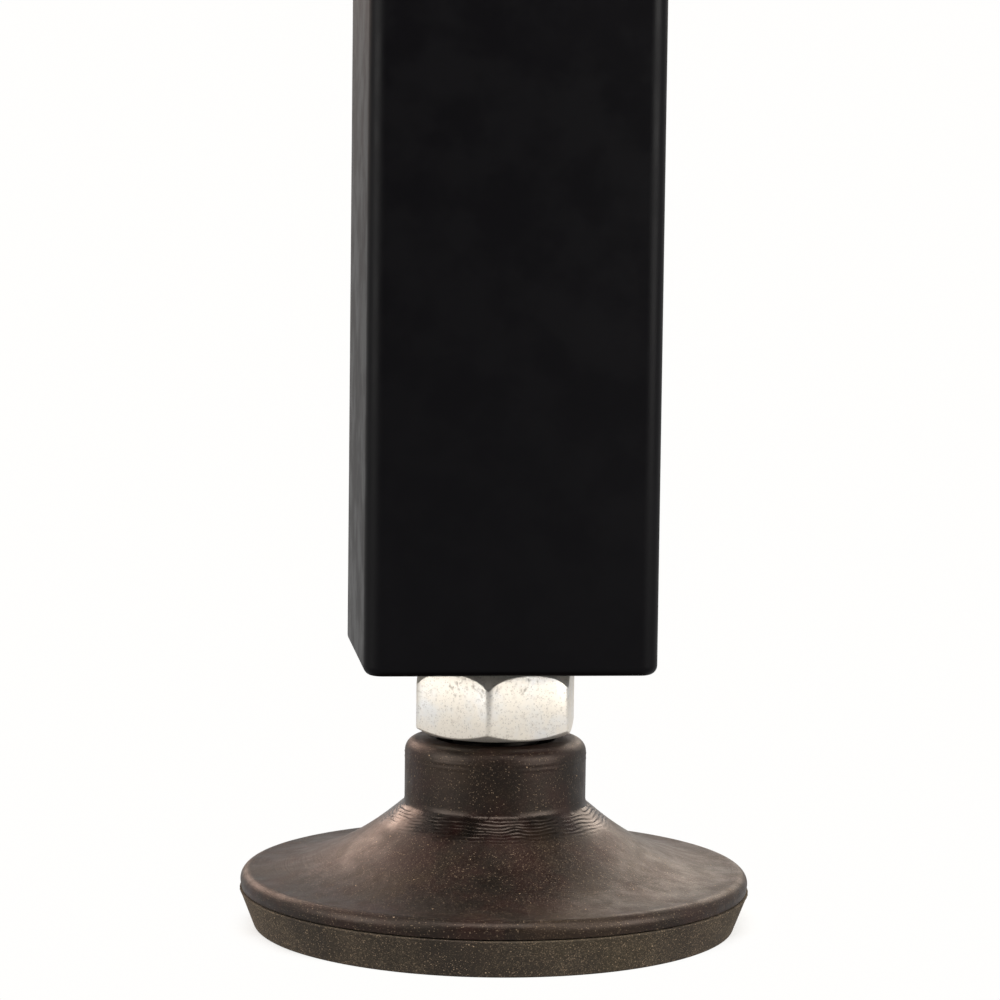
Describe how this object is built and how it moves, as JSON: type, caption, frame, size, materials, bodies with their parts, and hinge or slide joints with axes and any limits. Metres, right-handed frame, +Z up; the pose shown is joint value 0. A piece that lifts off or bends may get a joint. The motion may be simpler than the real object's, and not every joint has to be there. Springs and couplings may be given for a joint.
{
  "type": "power tower leg foot",
  "caption": "Lower leg of a power tower: square steel tube, jam nut and swivelling moulded levelling foot on a threaded ball stem.",
  "frame": {"origin": "centre of the sole's underside, on the floor", "axes": "+Z up along the tube and the stem, -Y out of the tube's front face, +X to the right of it"},
  "size_m": [0.081, 0.081, 0.2],
  "materials": {
    "black_coating": "black powder coating, satin, faint orange peel",
    "plain_steel": "bare mill steel, oiled",
    "zinc": "pale yellowish zinc plating, fine speckle",
    "blackened_steel": "blackened steel, greased",
    "nylon": "natural nylon",
    "moulded_black": "black moulded plastic, dusty, with a brownish bloom",
    "rubber": "matt black rubber, dusty"
  },
  "bodies": {
    "foot": {"foot_body": "moulded_black", "core_plate": "plain_steel", "core_screw_1": "zinc", "core_screw_2": "zinc", "core_screw_3": "zinc", "core_screw_4": "zinc", "sole": "rubber"},
    "tilt_ring": {"liner_ring": "nylon"},
    "seat": {"liner_cup": "nylon"},
    "stem": {"ball_stem": "blackened_steel"},
    "leg": {"leg_tube": "black_coating", "end_plate": "plain_steel", "weld_nut": "plain_steel"},
    "jam_nut": {"jam_nut": "zinc"}
  },
  "joints": [
    {"name": "tilt_sideways", "type": "hinge", "parent": "foot", "child": "tilt_ring", "pos_m": [0, 0, 0.0204], "axis": [0, 1, 0], "range_deg": [-2.5, 2.5]},
    {"name": "tilt_fore_aft", "type": "hinge", "parent": "tilt_ring", "child": "seat", "pos_m": [0, 0, 0.0204], "axis": [1, 0, 0], "range_deg": [-2.5, 2.5]},
    {"name": "leg_height", "type": "slide", "parent": "seat", "child": "leg", "axis": [0, 0, 1], "range_m": [0, 0.025]},
    {"name": "stem_turn", "type": "hinge", "parent": "seat", "child": "stem", "pos_m": [0, 0, 0.0204], "axis": [0, 0, -1], "range_deg": [0, 4500.1]},
    {"name": "jam_nut_turn", "type": "hinge", "parent": "leg", "child": "jam_nut", "pos_m": [0, 0, 0.0306], "axis": [0, 0, -1], "range_deg": [0, 180]}
  ],
  "couplings": [
    {"joint": "stem_turn", "follows": "leg_height", "rad_per_m": 3141.6}
  ]
}
